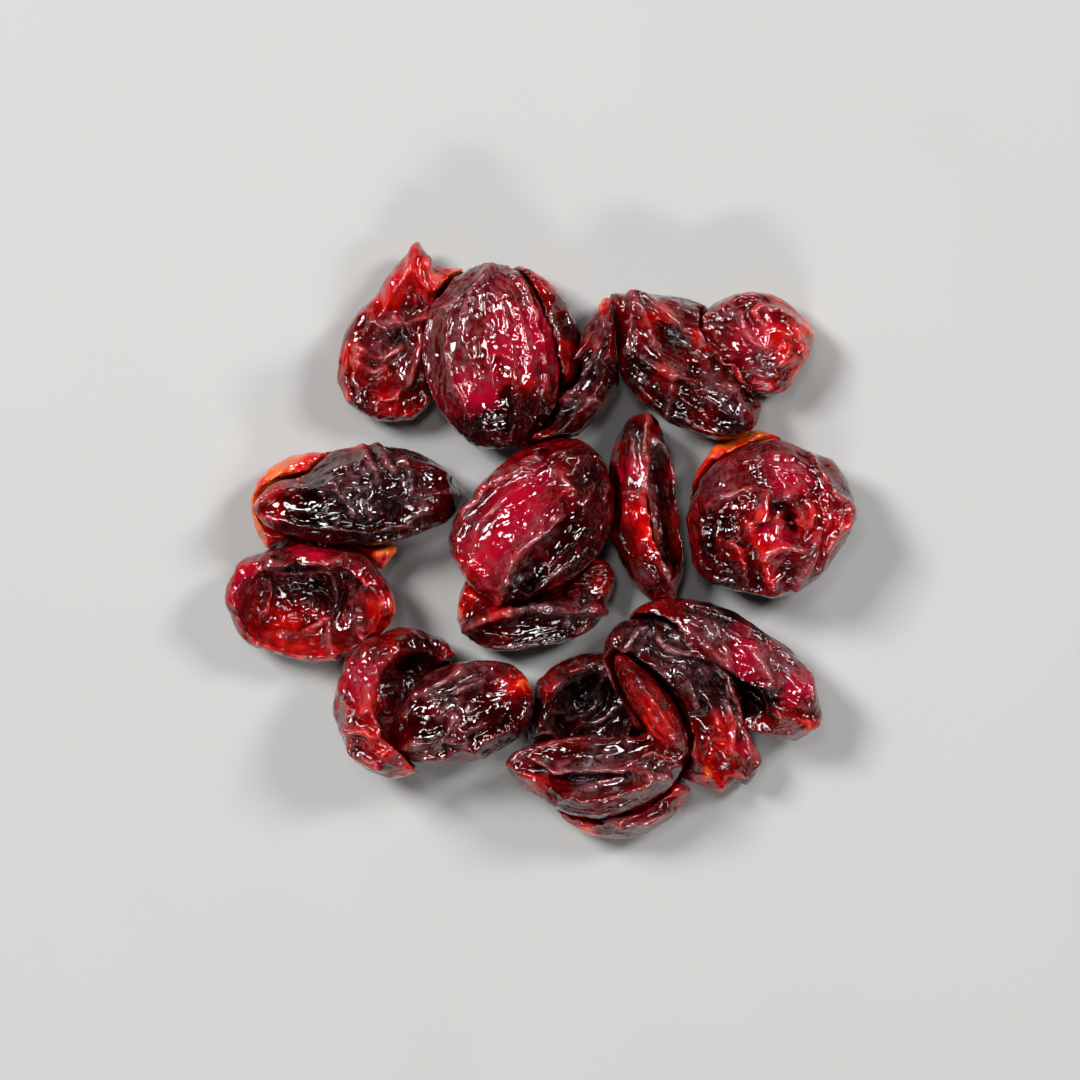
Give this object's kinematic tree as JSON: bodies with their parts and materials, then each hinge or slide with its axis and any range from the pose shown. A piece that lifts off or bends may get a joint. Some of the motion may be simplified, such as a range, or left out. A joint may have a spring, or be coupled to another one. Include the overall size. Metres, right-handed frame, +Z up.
{
  "type": "cluster of dried cranberries",
  "caption": "Loose single-layer cluster of glossy, crumpled dried cranberries, whole and halved, some open as thin-skinned cups, a few lying over their neighbours.",
  "frame": {"origin": "on the surface that the cluster lies on, under the middle of its bounding box", "axes": "+Z up, away from the surface; +X across the cluster's longest side, to the right in the picture; +Y towards the top of the picture"},
  "size_m": [0.047, 0.0448, 0.0097],
  "materials": {
    "dark_skin": "glossy, wrinkled, near-black red fruit skin",
    "deep_red_skin": "glossy, wrinkled, deep maroon fruit skin",
    "rose_red_skin": "glossy, finely wrinkled, crimson fruit skin",
    "bright_red_skin": "glossy, translucent bright red fruit skin",
    "amber_red_skin": "glossy, thin translucent orange-red fruit skin"
  },
  "bodies": {
    "root": {"cranberry_top_dome": "rose_red_skin", "cranberry_centre_ridge": "rose_red_skin", "cranberry_upper_right_tip": "bright_red_skin", "cranberry_right_dome": "rose_red_skin", "cranberry_left_dark": "dark_skin", "cranberry_lower_left_dome": "deep_red_skin", "cranberry_bottom_lip": "deep_red_skin", "cranberry_lower_right_tongue": "dark_skin", "cranberry_centre_right_edge": "bright_red_skin", "cranberry_left_cup": "bright_red_skin", "cranberry_lower_left_cup": "bright_red_skin", "cranberry_upper_right_folded": "deep_red_skin", "cranberry_lower_right_fold": "rose_red_skin", "cranberry_top_left": "bright_red_skin", "cranberry_top_back": "deep_red_skin", "cranberry_top_leaf": "deep_red_skin", "cranberry_bottom_cup": "dark_skin", "cranberry_bottom_under": "deep_red_skin", "cranberry_centre_under": "deep_red_skin", "cranberry_right_under": "amber_red_skin", "cranberry_left_under": "amber_red_skin"}
  },
  "joints": []
}
